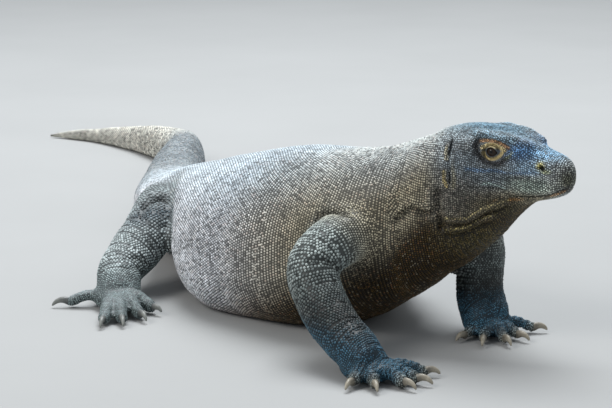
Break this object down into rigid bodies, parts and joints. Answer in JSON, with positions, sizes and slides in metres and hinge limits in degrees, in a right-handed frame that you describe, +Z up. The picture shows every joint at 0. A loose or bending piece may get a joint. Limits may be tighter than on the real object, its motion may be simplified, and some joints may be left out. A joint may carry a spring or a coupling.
{
  "type": "komodo dragon",
  "caption": "Life-size still model of a komodo dragon resting on its belly with the chest raised on the front legs and the head lifted.",
  "frame": {"origin": "middle of the footprint's bounding box, on the floor plane", "axes": "+X forward along the trunk towards the head, +Y to the animal's left, +Z up"},
  "size_m": [2.2264, 0.871, 0.361],
  "materials": {
    "head_skin": "satin",
    "throat_skin": "matte",
    "neck_skin": "matte",
    "body_skin": "matte",
    "tail_skin": "matte",
    "limb_skin": "matte",
    "claw_horn": "satin",
    "eye_glass": "gloss"
  },
  "bodies": {
    "root": {"head": "head_skin", "lower_jaw": "throat_skin", "eye_right": "eye_glass", "eye_left": "eye_glass", "neck": "neck_skin", "chest": "body_skin", "belly": "body_skin", "pelvis": "body_skin", "tail_1": "tail_skin", "tail_2": "tail_skin", "tail_3": "tail_skin", "tail_4": "tail_skin", "tail_5": "tail_skin", "upper_arm_front_right": "limb_skin", "forearm_front_right": "limb_skin", "foot_front_right": "limb_skin", "claw_front_right_1": "claw_horn", "claw_front_right_2": "claw_horn", "claw_front_right_3": "claw_horn", "claw_front_right_4": "claw_horn", "claw_front_right_5": "claw_horn", "upper_arm_front_left": "limb_skin", "forearm_front_left": "limb_skin", "foot_front_left": "limb_skin", "claw_front_left_1": "claw_horn", "claw_front_left_2": "claw_horn", "claw_front_left_3": "claw_horn", "claw_front_left_4": "claw_horn", "claw_front_left_5": "claw_horn", "thigh_hind_right": "limb_skin", "shank_hind_right": "limb_skin", "foot_hind_right": "limb_skin", "claw_hind_right_1": "claw_horn", "claw_hind_right_2": "claw_horn", "claw_hind_right_3": "claw_horn", "claw_hind_right_4": "claw_horn", "claw_hind_right_5": "claw_horn", "thigh_hind_left": "limb_skin", "shank_hind_left": "limb_skin", "foot_hind_left": "limb_skin", "claw_hind_left_1": "claw_horn", "claw_hind_left_2": "claw_horn", "claw_hind_left_3": "claw_horn", "claw_hind_left_4": "claw_horn", "claw_hind_left_5": "claw_horn"}
  },
  "joints": []
}
